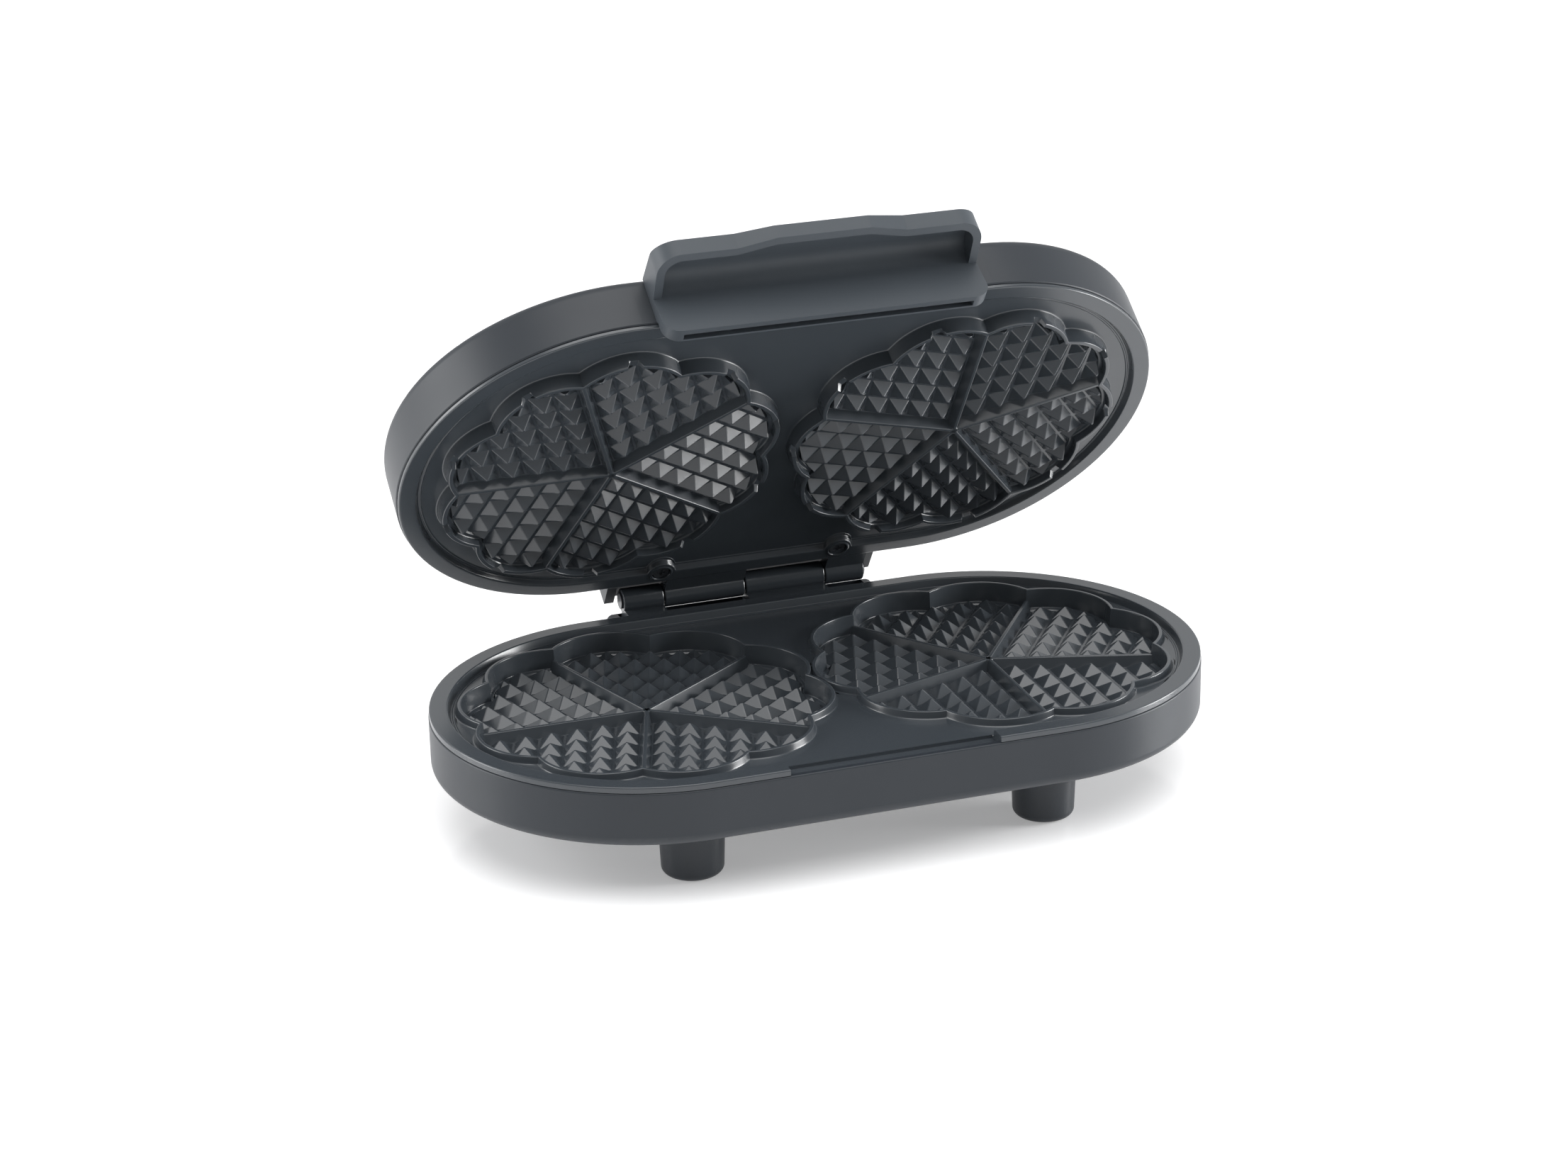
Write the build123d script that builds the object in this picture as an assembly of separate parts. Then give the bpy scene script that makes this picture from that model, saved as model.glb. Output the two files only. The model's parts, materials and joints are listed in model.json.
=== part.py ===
from build123d import *
import math
import os

# A double heart waffle maker.  Everything is modelled closed, in the closed frame: X along the length,
# Y towards the hinge, Z up, z = 0 at the top of the lower mould rims.  The lid is then swung open to its
# rest pose, and the whole object is moved so that the origin is the middle of its footprint.
# All sizes are millimetres.

# ---- driving dimensions --------------------------------------------------------------------------
HALF_STRAIGHT = 75.3          # half the straight run of the stadium outline
HOUSING_R = 92.8              # end radius of both housings
WALL = 2.5                    # moulded wall thickness
EDGE_ROUND = 0.7              # rounding of the housings' open edges
BASE_TOP = -2.4               # upper edge of the base housing
BASE_BOTTOM = -26.0
FLOOR = -52.6                 # what the feet stand on
LID_EDGE = 2.8                # lower edge of the lid housing when closed
LID_TOP = 26.9                # where the lid's top meets its rounded edge
LID_CROWN = 2.6               # how much the lid's top rises above that in the middle

MOULD_X = 77.1                # each mould's centre, left and right
LOBES = 10                    # two lobes for each of the five hearts
PLATE_T = 3.0                 # cast plate thickness
LOWER_RING_TOP = 0.4
LOWER_FLAT = -3.2             # flat of the lower plate around the moulds
LOWER_FLOOR = -10.0           # bottom of the lower moulds
LOWER_RIDGE_TOP = -5.0
UPPER_RING_FACE = 0.9
UPPER_FLAT = 3.3
UPPER_LAND = -3.5             # the upper rims reach this far down into the lower moulds
UPPER_FLOOR = 1.3
TUBE_R = 3.25                 # heating elements
LOWER_TUBE_Z = LOWER_FLOOR - PLATE_T - TUBE_R - 0.1
STRAP_TOP = LOWER_TUBE_Z - TUBE_R - 0.1
UPPER_TUBE_Z = UPPER_FLAT + PLATE_T + TUBE_R + 0.1
RING_INNER_R = 84.0           # inner edge of the raised ring round each plate
LOWER_RING_R = 92.5
UPPER_RING_R = 92.2
SPIGOT_R = 90.0               # the part of a plate that sits inside its housing

HINGE_Y, HINGE_Z = 105.5, 2.6
KNUCKLE_R = 5.5
PIN_R = 2.5
HINGE_CLEARANCE = 0.05        # radial running clearance, pin in knuckle
KNUCKLE_ENDS = (-57.0, -38.0, 0.0, 38.0, 57.0)
KNUCKLE_GAP = 0.5
COVER_HALF = 63.0             # half width of the hinge covers on both housings
COVER_BACK = 111.3
LID_REST_ANGLE = 54.87        # how far the lid stands open at rest

FOOT_X, FOOT_Y, FOOT_R = 77.4, 60.3, 13.9
PAD_STANDS_PROUD = 0.4

HANDLE_HALF = 69.5
LIP_OUTER_Y = -119.5
LIP_BULGE = 3.3               # the middle of the lip stands this much further out
LIP_T = 3.5
SKIRT_BOTTOM = -8.7
SKIRT_TOP = 11.0
SKIRT_FACE = -97.6            # the skirt's front face at its top, where the scoop's side walls end
LIP_BOTTOM = 15.4
SCOOP_ROOF = 21.0
SCOOP_BEND = 8.2              # radius of the curve between the scoop's roof and the skirt

DIAL_Y = -31.0
DIAL_R = 19.0
SHAFT_R = 3.0
LAMP_X, LAMP_Y, LAMP_R = 36.0, -36.0, 4.0

GLAND_Z, GLAND_R, CORD_HOLE_R = -14.9, 5.0, 3.3

LEFT_CUSP_ANGLE, RIGHT_CUSP_ANGLE = 18.0, 0.0     # clockwise from +Y, seen from above
LEFT_RIDGE_ANGLE, RIGHT_RIDGE_ANGLE = 54.0, 36.0


# ---- helpers -------------------------------------------------------------------------------------
def slab(radius, low, high):
    """A stadium of the given end radius between two heights."""
    outline = SlotCenterToCenter(2 * HALF_STRAIGHT, 2 * radius)
    return extrude(Pos(0, 0, low) * outline, high - low)


def block(x0, x1, y0, y1, z0, z1):
    """A box by its two corners."""
    return Pos((x0 + x1) / 2, (y0 + y1) / 2, (z0 + z1) / 2) * Box(x1 - x0, y1 - y0, z1 - z0)


def post(x, y, low, high, radius):
    """An upright cylinder."""
    return Pos(x, y, (low + high) / 2) * Cylinder(radius, high - low)


def rod_x(x0, x1, y, z, radius):
    """A cylinder along X."""
    return Pos((x0 + x1) / 2, y, z) * Rot(0, 90, 0) * Cylinder(radius, x1 - x0)


def rod_y(x, y0, y1, z, radius):
    """A cylinder along Y."""
    return Pos(x, (y0 + y1) / 2, z) * Rot(90, 0, 0) * Cylinder(radius, y1 - y0)


def around(centre_x, angle, radius):
    """A point at a compass angle (clockwise from +Y) around a mould's centre."""
    a = math.radians(angle)
    return (centre_x + radius * math.sin(a), radius * math.cos(a))


def flower(centre_x, cusp_angle, cusp_r, lobe_r, low, high):
    """The scalloped outline of five hearts: one arc per lobe, from cusp to cusp."""
    step = 360.0 / LOBES
    arcs = []
    for k in range(LOBES):
        start = around(centre_x, cusp_angle + k * step, cusp_r)
        peak = around(centre_x, cusp_angle + (k + 0.5) * step, lobe_r)
        end = around(centre_x, cusp_angle + (k + 1) * step, cusp_r)
        arcs.append(ThreePointArc(start, peak, end))
    return extrude(Pos(0, 0, low) * make_face(Wire(arcs)), high - low)


def moulds():
    """Centre, cusp angle and ridge angle of the left and the right mould."""
    return ((-MOULD_X, LEFT_CUSP_ANGLE, LEFT_RIDGE_ANGLE), (MOULD_X, RIGHT_CUSP_ANGLE, RIGHT_RIDGE_ANGLE))


def ridges(centre_x, first_angle, reach, low, high, width=2.6):
    """The five ridges that part the hearts, from the middle out to a cusp."""
    solid = post(centre_x, 0, low, high, 3.0)
    for k in range(5):
        bar = Pos(0, reach / 2, (low + high) / 2) * Box(width, reach, high - low)
        solid += Pos(centre_x, 0, 0) * Rot(0, 0, -(first_angle + 72.0 * k)) * bar
    return solid


def tube_along(points, radii, radius):
    """A round wire or rod along a path of straight runs with tangent arcs."""
    path = FilletPolyline(*points, radius=radii)
    section = Plane(origin=path @ 0, z_dir=path % 0) * Circle(radius)
    return sweep(section, path=path)


def knuckle(first, last, low, high):
    """One hinge knuckle on the arm that joins it to a plate."""
    x0 = KNUCKLE_ENDS[first] + KNUCKLE_GAP / 2
    x1 = KNUCKLE_ENDS[last] - KNUCKLE_GAP / 2
    arm = block(x0, x1, RING_INNER_R + 2, HINGE_Y, low, high)
    return arm + rod_x(x0, x1, HINGE_Y, HINGE_Z, KNUCKLE_R)


def pin_bore():
    ends = (KNUCKLE_ENDS[0] - 1, KNUCKLE_ENDS[-1] + 1)
    return rod_x(*ends, HINGE_Y, HINGE_Z, PIN_R + HINGE_CLEARANCE)


def corners(x, y):
    return [(sx * x, sy * y) for sx in (-1, 1) for sy in (-1, 1)]


PILLARS = corners(141.0, 54.6)                # screw pillars of the lower plate, outside its moulds
LID_SCREWS = [(-41.5, 85.5), (41.5, 85.5)]    # screw bosses of the upper plate, near the hinge
BOSS_R = 6.4
HANDLE_SCREW_X, HANDLE_SCREW_Z = 50.0, 16.0


# ---- base body -----------------------------------------------------------------------------------
def base_housing():
    """Stadium tub with a rounded lower edge and a hinge cover at the back."""
    shell = slab(HOUSING_R, BASE_BOTTOM, BASE_TOP)
    shell = fillet(shell.faces().sort_by(Axis.Z)[0].edges(), 4.5)
    shell = fillet(shell.faces().sort_by(Axis.Z)[-1].edges(), EDGE_ROUND)
    cover = block(-COVER_HALF, COVER_HALF, 88, COVER_BACK, BASE_BOTTOM + 3, -4.6)
    cover = fillet(cover.edges().filter_by(Axis.X).group_by(Axis.Y)[-1], 3.5)
    cover = fillet(cover.edges().filter_by(Axis.Z).group_by(Axis.Y)[-1], 3.0)
    shell += cover
    shell -= slab(HOUSING_R - WALL, BASE_BOTTOM + WALL, BASE_TOP)
    # the cover is hollow from inside, and open at the top of the wall for the hinge arms
    arms_low = LOWER_FLAT - PLATE_T - 0.6
    shell -= block(-COVER_HALF + 3, COVER_HALF - 3, 86, COVER_BACK - 3, BASE_BOTTOM + 5.5, arms_low - 2.5)
    shell -= block(KNUCKLE_ENDS[0] - 1, KNUCKLE_ENDS[-1] + 1, 86, HINGE_Y + 3, arms_low, BASE_TOP)
    shell -= rod_y(0, COVER_BACK - 4, COVER_BACK + 1, GLAND_Z, GLAND_R)
    for x, y in PILLARS:
        shell -= post(x, y, BASE_BOTTOM - 1, BASE_BOTTOM + WALL + 1, 2.0)
        shell -= post(x, y, BASE_BOTTOM - 1, BASE_BOTTOM + 1.2, 3.8)
    for x, y in corners(FOOT_X, FOOT_Y):
        shell -= post(x, y, BASE_BOTTOM - 1, BASE_BOTTOM + WALL + 1, 2.0)
    # ribs that stiffen the floor, clear of the reflector
    for x in (-110, 110):
        shell += block(x - 0.9, x + 0.9, -78, 78, BASE_BOTTOM + WALL - 0.1, BASE_BOTTOM + WALL + 0.6)
    return shell


def lower_plate():
    """Die-cast baking plate: ring, flat, two mould pans with rims and ridges, hinge knuckles, pillars."""
    under = LOWER_FLAT - PLATE_T
    plate = slab(SPIGOT_R, under, LOWER_RING_TOP)
    plate += slab(LOWER_RING_R, BASE_TOP + 0.2, LOWER_RING_TOP)
    plate -= slab(RING_INNER_R, LOWER_FLAT, LOWER_RING_TOP)
    plate -= block(-45, 45, -94, -82.5, LOWER_FLAT - 1.0, LOWER_RING_TOP + 1)
    for x, cusp, ridge in moulds():
        plate += flower(x, cusp, 73.5, 80.5, LOWER_FLOOR - PLATE_T, under + 0.5)
        plate += flower(x, cusp, 72.0, 79.0, LOWER_FLAT - 1, 0.0)
    for x, cusp, ridge in moulds():
        plate -= flower(x, cusp, 70.5, 77.5, LOWER_FLOOR, 1.0)
        plate += ridges(x, ridge, 70.0, LOWER_FLOOR - 0.5, LOWER_RIDGE_TOP)
        plate += post(x, 0, STRAP_TOP + 0.05, LOWER_FLOOR - PLATE_T + 0.5, 5.0)
        plate -= post(x, 0, STRAP_TOP, LOWER_FLOOR - PLATE_T, 1.7)
    for x, y in PILLARS:
        plate += post(x, y, BASE_BOTTOM + WALL + 0.05, under + 0.5, 3.6)
        plate -= post(x, y, BASE_BOTTOM + WALL, under, 1.55)
    for first in (0, 2):
        plate += knuckle(first, first + 1, under, -0.6)
    return plate - pin_bore()


def hinge_pin():
    """Steel pin through all four knuckles, with a small head at each end."""
    pin = rod_x(KNUCKLE_ENDS[0] - 0.6, KNUCKLE_ENDS[-1] + 0.6, HINGE_Y, HINGE_Z, PIN_R)
    for x in (KNUCKLE_ENDS[0] - 0.4, KNUCKLE_ENDS[-1] + 0.0):
        pin += rod_x(x - 0.2, x + 0.6, HINGE_Y, HINGE_Z, 3.6)
    return pin


def foot(x, y):
    """Round tapered post: its stem narrows a little and its lower edge is well rounded."""
    height = BASE_BOTTOM - FLOOR - PAD_STANDS_PROUD
    body = extrude(Pos(0, 0, BASE_BOTTOM - 0.02) * Circle(FOOT_R), -height, taper=2.2)
    body = fillet(body.faces().sort_by(Axis.Z)[0].edges(), 3.0)
    body -= post(0, 0, FLOOR, FLOOR + 2.4, 7.6)
    body -= post(0, 0, FLOOR + 2.4, BASE_BOTTOM - 3.0, 4.2)
    body -= post(0, 0, FLOOR + 2.4, BASE_BOTTOM, 1.7)
    return Pos(x, y, 0) * body


def foot_pad(x, y):
    """Soft pad let into the foot, standing slightly proud of it."""
    pad = post(0, 0, FLOOR, FLOOR + 2.35, 7.5)
    pad = fillet(pad.faces().sort_by(Axis.Z)[0].edges(), 0.3)
    return Pos(x, y, 0) * pad


def screw_up(x, y, head_low, head_h, head_r, shank_r, tip):
    """A screw that points up, with a cross recess in its head."""
    body = post(x, y, head_low, head_low + head_h, head_r) + post(x, y, head_low + head_h - 0.1, tip, shank_r)
    reach = head_r * 0.55
    for w, l in ((0.7, reach), (reach, 0.7)):
        body -= block(x - w, x + w, y - l, y + l, head_low - 0.1, head_low + head_h * 0.5)
    return body


def base_screws():
    """Four screws through the base floor into the pillars of the lower plate."""
    screws = [screw_up(x, y, BASE_BOTTOM + 0.1, 1.05, 3.6, 1.5, -9.0) for x, y in PILLARS]
    return Compound(children=screws)


def foot_screws():
    """Four screws up each foot's bore, gripping the base floor with a nut."""
    group = []
    for x, y in corners(FOOT_X, FOOT_Y):
        group.append(screw_up(x, y, BASE_BOTTOM - 5.2, 2.1, 3.4, 1.6, BASE_BOTTOM + WALL + 2.0))
    return Compound(children=group)


def heater(z):
    """Tubular element: a racetrack round both moulds, open at the back, with its ends turned away."""
    radius, gap = 50.0, 14.0
    start = Line((gap, radius), (HALF_STRAIGHT, radius))
    right = ThreePointArc((HALF_STRAIGHT, radius), (HALF_STRAIGHT + radius, 0), (HALF_STRAIGHT, -radius))
    front = Line((HALF_STRAIGHT, -radius), (-HALF_STRAIGHT, -radius))
    left = ThreePointArc((-HALF_STRAIGHT, -radius), (-HALF_STRAIGHT - radius, 0), (-HALF_STRAIGHT, radius))
    end = Line((-HALF_STRAIGHT, radius), (-gap, radius))
    path = Wire([start, right, front, left, end])
    tube = sweep(Plane(origin=path @ 0, z_dir=path % 0) * Circle(TUBE_R), path=path)
    tube = Pos(0, 0, z) * tube
    for side in (-1, 1):
        x0, x1 = sorted((side * (gap - 5), side * (gap + 0.5)))
        tube += rod_x(x0, x1, radius, z, 1.6)
        tube += block(x0 + 0.5, x0 + 3.2, radius - 3, radius + 3, z - 0.4, z + 0.4)
    return tube


def lower_straps():
    """Two steel straps that hold the element up against the mould pans."""
    group = []
    for x in (-MOULD_X, MOULD_X):
        strap = block(x - 7, x + 7, -57, 57, STRAP_TOP - 1.0, STRAP_TOP)
        strap -= post(x, 0, STRAP_TOP - 2, STRAP_TOP + 1, 2.0)
        group.append(strap)
    return Compound(children=group)


def lower_strap_screws():
    return Compound(children=[screw_up(x, 0, STRAP_TOP - 2.0, 0.95, 3.2, 1.6, LOWER_FLOOR - PLATE_T - 0.5)
                              for x in (-MOULD_X, MOULD_X)])


def reflector(low, radius, holes):
    """Bright sheet that sends the heat back to the plate, with holes for what passes through it."""
    sheet = slab(radius, low, low + 0.5)
    for x, y, r in holes:
        sheet -= post(x, y, low - 1, low + 1, r)
    return sheet


def lower_reflector():
    holes = [(x, 0, 4.5) for x in (-MOULD_X, MOULD_X)] + [(0, 66, 9.0)]
    holes += [(x, y, 4.6) for x, y in corners(FOOT_X, FOOT_Y)]
    return reflector(BASE_BOTTOM + WALL + 0.7, 79.0, holes)


def terminal_block():
    """Three-way block where the mains leads are clamped, beside the hinge arms."""
    body = block(-17, 17, 66, 80, -20.0, -9.5)
    for x in (-11, 0, 11):
        body -= rod_y(x, 65, 81, -14.0, 1.9)
        body -= post(x, 73, -12.5, -9.0, 2.2)
    return body


def terminal_screws():
    group = []
    for x in (-11, 0, 11):
        slot = block(x - 2, x + 2, 72.6, 73.4, -10.6, -9.5)
        group.append(post(x, 73, -12.2, -9.9, 2.05) - slot)
    return Compound(children=group)


def base_leads():
    """Insulated leads from the terminal block to the lower element's tabs."""
    group = []
    for side in (-1, 1):
        points = [(side * 11, 65.8, -14.0), (side * 11, 61.0, -14.0), (side * 11.0, 57.0, -15.5)]
        group.append(tube_along(points, 3.0, 1.3))
    return Compound(children=group)


def cord_gland():
    """Bushing in the back of the hinge cover, where the mains cord enters.  It has no cord in it."""
    body = rod_y(0, COVER_BACK - 9, COVER_BACK + 5.5, GLAND_Z, GLAND_R - 0.1)
    body += rod_y(0, COVER_BACK + 0.05, COVER_BACK + 2.3, GLAND_Z, GLAND_R + 1.2)
    body += rod_y(0, COVER_BACK - 5.2, COVER_BACK - 3.1, GLAND_Z, GLAND_R + 0.3)
    return body - rod_y(0, COVER_BACK - 10, COVER_BACK + 6, GLAND_Z, CORD_HOLE_R)


# ---- lid body, modelled closed -------------------------------------------------------------------
def lid_outer(inset, top):
    """Crowned stadium: an upright wall under a top that curves down a little to front and back."""
    half_width = HOUSING_R - inset
    crown_r = (half_width ** 2 + LID_CROWN ** 2) / (2 * LID_CROWN)
    dome = rod_x(-200, 200, 0, top + LID_CROWN - crown_r, crown_r)
    return slab(half_width, LID_EDGE, top + LID_CROWN) & dome


def lid_housing():
    """Lid shell with a rounded upper edge and a hinge cover at the back."""
    shell = lid_outer(0, LID_TOP)
    high = [e for e in shell.edges() if e.center().Z > LID_TOP - 1.5]
    upper = [e for e in high if e.bounding_box().min.Z > LID_TOP - 6]
    shell = fillet(upper, 5.0)
    shell = fillet(shell.faces().sort_by(Axis.Z)[0].edges(), EDGE_ROUND)
    cover = block(-COVER_HALF, COVER_HALF, 86, COVER_BACK + 0.2, 9.4, 22.5)
    for side in (-1, 1):
        cheek = sorted((side * (KNUCKLE_ENDS[-1] + 1.6), side * COVER_HALF))
        cover += block(*cheek, 94, COVER_BACK + 0.2, 6.0, 12.0)
    cover = fillet(cover.edges().filter_by(Axis.X).group_by(Axis.Y)[-1].group_by(Axis.Z)[-1], 5.0)
    shell += cover
    shell -= slab(HOUSING_R - WALL, LID_EDGE - 1, LID_TOP - WALL)
    shell -= block(-COVER_HALF + 3, COVER_HALF - 3, 80, COVER_BACK - 3, 12.0, 19.5)
    shell -= block(KNUCKLE_ENDS[0] - 1, KNUCKLE_ENDS[-1] + 1, 86, HOUSING_R + 0.01, LID_EDGE - 1, 9.4)
    for x, y in LID_SCREWS:
        shell += post(x, y, UPPER_FLAT + PLATE_T + 0.05, LID_TOP - WALL + 0.5, 4.0)
        shell -= post(x, y, UPPER_FLAT + PLATE_T, LID_TOP - WALL - 4, 1.6)
    shell -= post(0, DIAL_Y, 20, 40, 5.1)
    for side in (-1, 1):
        shell -= post(side * LAMP_X, LAMP_Y, 20, 40, LAMP_R + 0.05)
        shell -= rod_y(side * HANDLE_SCREW_X, -HOUSING_R - 1, -HOUSING_R + WALL + 1, HANDLE_SCREW_Z, 1.7)
    return shell


def upper_plate():
    """Die-cast baking plate of the lid: its rims nest inside the lower moulds when the lid is closed."""
    back = UPPER_FLAT + PLATE_T
    plate = slab(SPIGOT_R, UPPER_RING_FACE, back)
    plate += slab(UPPER_RING_R, UPPER_RING_FACE, LID_EDGE - 0.2)
    plate -= slab(RING_INNER_R, UPPER_RING_FACE, UPPER_FLAT)
    for x, cusp, ridge in moulds():
        plate += flower(x, cusp, 67.5, 73.75, UPPER_LAND, UPPER_FLAT + 1)
    for x, cusp, ridge in moulds():
        plate -= flower(x, cusp, 65.5, 71.75, UPPER_LAND - 1, UPPER_FLOOR)
        plate += ridges(x, ridge, 65.0, UPPER_LAND, UPPER_FLOOR + 0.5)
        plate += post(x, 0, back - 0.5, UPPER_TUBE_Z + 3.3, 5.0)
        plate -= post(x, 0, back, UPPER_TUBE_Z + 4, 1.7)
    for first in (1, 3):
        plate += knuckle(first, first + 1, UPPER_RING_FACE + 0.2, back)
    for x, y in LID_SCREWS:
        plate += post(x, y, UPPER_RING_FACE, UPPER_FLAT + 0.5, BOSS_R)
        plate -= post(x, y, UPPER_FLAT - 3.0, UPPER_FLAT - 0.6, 4.0)
        plate -= post(x, y, UPPER_FLAT - 3.0, back + 1, 1.8)
    return plate - pin_bore()


def plate_screws():
    """The two cross-head screws that hold the upper plate, seen from its baking side."""
    return Compound(children=[screw_up(x, y, UPPER_FLAT - 2.0, 1.35, 3.6, 1.5, 18.0) for x, y in LID_SCREWS])


def upper_straps():
    group = []
    for x in (-MOULD_X, MOULD_X):
        low = UPPER_TUBE_Z + 3.35
        strap = block(x - 7, x + 7, -57, 57, low, low + 1.0)
        strap -= post(x, 0, low - 1, low + 2, 2.0)
        group.append(strap)
    return Compound(children=group)


def upper_strap_screws():
    low = UPPER_TUBE_Z + 3.35
    group = []
    for x in (-MOULD_X, MOULD_X):
        screw = screw_up(x, 0, 0, 0.95, 3.2, 1.6, 8.5)
        turned = Pos(x, 0, low + 2.0) * Rot(180, 0, 0) * Pos(-x, 0, 0) * screw
        group.append(turned)
    return Compound(children=group)


def upper_reflector():
    holes = [(x, 0, 4.5) for x in (-MOULD_X, MOULD_X)] + [(0, 66, 9.0), (0, DIAL_Y, 13.0)]
    return reflector(UPPER_TUBE_Z + 6.4, 79.0, holes)


def thermostat():
    """Control thermostat: a round body that senses the plate, with a threaded neck under the dial."""
    body = post(0, DIAL_Y, UPPER_FLAT + PLATE_T + 0.05, 19.0, 12.0)
    body += post(0, DIAL_Y, 18.5, 27.5, 5.0)
    for side in (-1, 1):
        body += block(side * 14 - 3, side * 14 + 3, DIAL_Y - 0.4, DIAL_Y + 0.4, 11.0, 14.0)
    return body - post(0, DIAL_Y, 12.0, 28.0, SHAFT_R + 0.05)


def thermostat_shaft():
    """Turns with the dial: a round shaft with a flat near its top."""
    shaft = post(0, DIAL_Y, 12.5, 37.0, SHAFT_R)
    return shaft - block(-4, 4, DIAL_Y + 2.0, DIAL_Y + 4.0, 30.5, 38.0)


def dial():
    """Temperature knob: a skirted round cap with finger grooves, on the shaft's flat."""
    low = LID_TOP + LID_CROWN + 0.6
    knob = post(0, DIAL_Y, low, low + 10.5, DIAL_R)
    knob = fillet(knob.faces().sort_by(Axis.Z)[-1].edges(), 1.6)
    for k in range(24):
        a = math.radians(15.0 * k)
        x, y = (DIAL_R + 0.9) * math.sin(a), DIAL_Y + (DIAL_R + 0.9) * math.cos(a)
        knob -= post(x, y, low + 3.0, low + 11, 1.5)
    flat = block(-4, 4, DIAL_Y + 2.03, DIAL_Y + 4, low + 2.4, low + 9)
    knob -= post(0, DIAL_Y, low - 1, low + 7.3, SHAFT_R + 0.03) - flat
    return knob - (post(0, DIAL_Y, low - 1, low + 1.2, DIAL_R - 2.5) - post(0, DIAL_Y, low - 1, low + 2, 6.5))


def lamp_lens(side):
    """Domed lens pressed into the lid's top from inside."""
    x = side * LAMP_X
    lens = post(x, LAMP_Y, 24.6, LID_TOP + 2.6, LAMP_R)
    lens = fillet(lens.faces().sort_by(Axis.Z)[-1].edges(), 0.9)
    return lens + post(x, LAMP_Y, 22.8, 24.3, LAMP_R + 1.4) + post(x, LAMP_Y, 23.5, 25.0, LAMP_R)


def lamp_holder(side):
    """Neon lamp in its sleeve behind a lens."""
    x = side * LAMP_X
    sleeve = post(x, LAMP_Y, 17.2, 22.7, 3.2)
    return sleeve + block(x - 5, x + 5, LAMP_Y - 1, LAMP_Y + 1, 17.0, 18.2)


def thermal_fuse():
    """One-shot fuse in a clip on the back of the upper plate."""
    z = UPPER_FLAT + PLATE_T + 2.3
    body = rod_x(-9, 9, 22, z, 2.2)
    for side in (-1, 1):
        body += rod_x(*sorted((side * 8.5, side * 17)), 22, z, 0.6)
    return body + block(-2.5, 2.5, 19, 25, UPPER_FLAT + PLATE_T + 0.05, z)


def lid_leads():
    """Insulated leads from the element's tabs and the fuse to the thermostat."""
    z = UPPER_TUBE_Z
    group = []
    for side in (-1, 1):
        points = [(side * 11, 44.5, z), (side * 11, 36.0, z), (side * 22, 26.0, z), (side * 24, 0.0, z),
                  (side * 18.5, DIAL_Y + 14, z + 2.6), (side * 18.5, DIAL_Y + 1, z + 2.6)]
        group.append(tube_along(points, 5.0, 1.3))
    return Compound(children=group)


def handle():
    """Hollow finger scoop on the front of the lid: roof, side walls, wavy lip and hanging skirt."""
    front = HOUSING_R + 0.05
    lip, bulge = LIP_OUTER_Y, LIP_OUTER_Y - LIP_BULGE
    skirt_foot = SKIRT_FACE - 3.0
    # side view, from the lid's wall round the skirt's foot, up its face and out to the lip
    profile = [(-front, 25.6), (-112.0, 23.9), (bulge - 1, 21.5), (bulge - 1, LIP_BOTTOM),
               (SKIRT_FACE, SKIRT_TOP), (skirt_foot, SKIRT_BOTTOM), (-94.0, SKIRT_BOTTOM), (-94.0, 1.8),
               (-front, 3.0)]
    side = make_face(Polyline(*[Vector(0, y, z) for y, z in profile], close=True))
    body = extrude(side, HANDLE_HALF, both=True)

    def plan(offset, side_x, corner):
        """Plan view of the lip: corners rounded, the middle bulging forward over short ramps."""
        pts = [(side_x, -80), (side_x, lip + offset), (36, lip + offset), (20, bulge + offset),
               (-20, bulge + offset), (-36, lip + offset), (-side_x, lip + offset), (-side_x, -80)]
        line = FilletPolyline(*pts, radius=[corner, 5, 5, 5, 5, corner])
        return make_face(Wire(line.edges() + [Line((-side_x, -80), (side_x, -80))]))

    body &= extrude(Pos(0, 0, -20) * plan(0, HANDLE_HALF, 10), 60)
    # front view: the skirt's lower corners are rounded
    tall = 60.0
    front_view = Plane.XZ * Pos(0, SKIRT_BOTTOM + tall / 2) * RectangleRounded(2 * HANDLE_HALF, tall, 7.0)
    body &= extrude(front_view, 200, both=True)
    # the scoop: its roof runs down into the skirt's sloping face in one large curve
    lean = (SKIRT_FACE - skirt_foot) / (SKIRT_TOP - SKIRT_BOTTOM)
    meet = SKIRT_FACE + lean * (SCOOP_ROOF - SKIRT_TOP)
    outer, inner_low = Vector(0, -140, SCOOP_ROOF), Vector(0, SKIRT_FACE, SKIRT_TOP)
    below = Vector(0, -140, 0)
    bend = FilletPolyline(outer, Vector(0, meet, SCOOP_ROOF), inner_low, radius=SCOOP_BEND)
    void_side = make_face(Wire(bend.edges() + [Line(inner_low, below), Line(below, outer)]))
    void_plan = extrude(Pos(0, 0, -20) * plan(LIP_T, HANDLE_HALF - LIP_T, 7), 60)
    body -= void_plan & extrude(void_side, 80, both=True)
    # slot behind the skirt, closed off above by the roof and behind by a thin rim, with four ribs across it
    top, inner, rim = 9.0, SKIRT_FACE + 2.2, -95.0
    hollow = [(inner, top), (inner - 2.7, SKIRT_BOTTOM - 1), (rim, SKIRT_BOTTOM - 1), (rim + 0.9, top)]
    hollow_face = make_face(Polyline(*[Vector(0, y, z) for y, z in hollow], close=True))
    body -= extrude(hollow_face, HANDLE_HALF - 7.5, both=True)
    for x in (-42, -14, 14, 42):
        body += block(x - 0.8, x + 0.8, inner - 1.6, -94.0, -6.5, top + 0.5)
    for side in (-1, 1):
        body -= rod_y(side * HANDLE_SCREW_X, -95.7, -90, HANDLE_SCREW_Z, 1.55)
    return body


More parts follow.
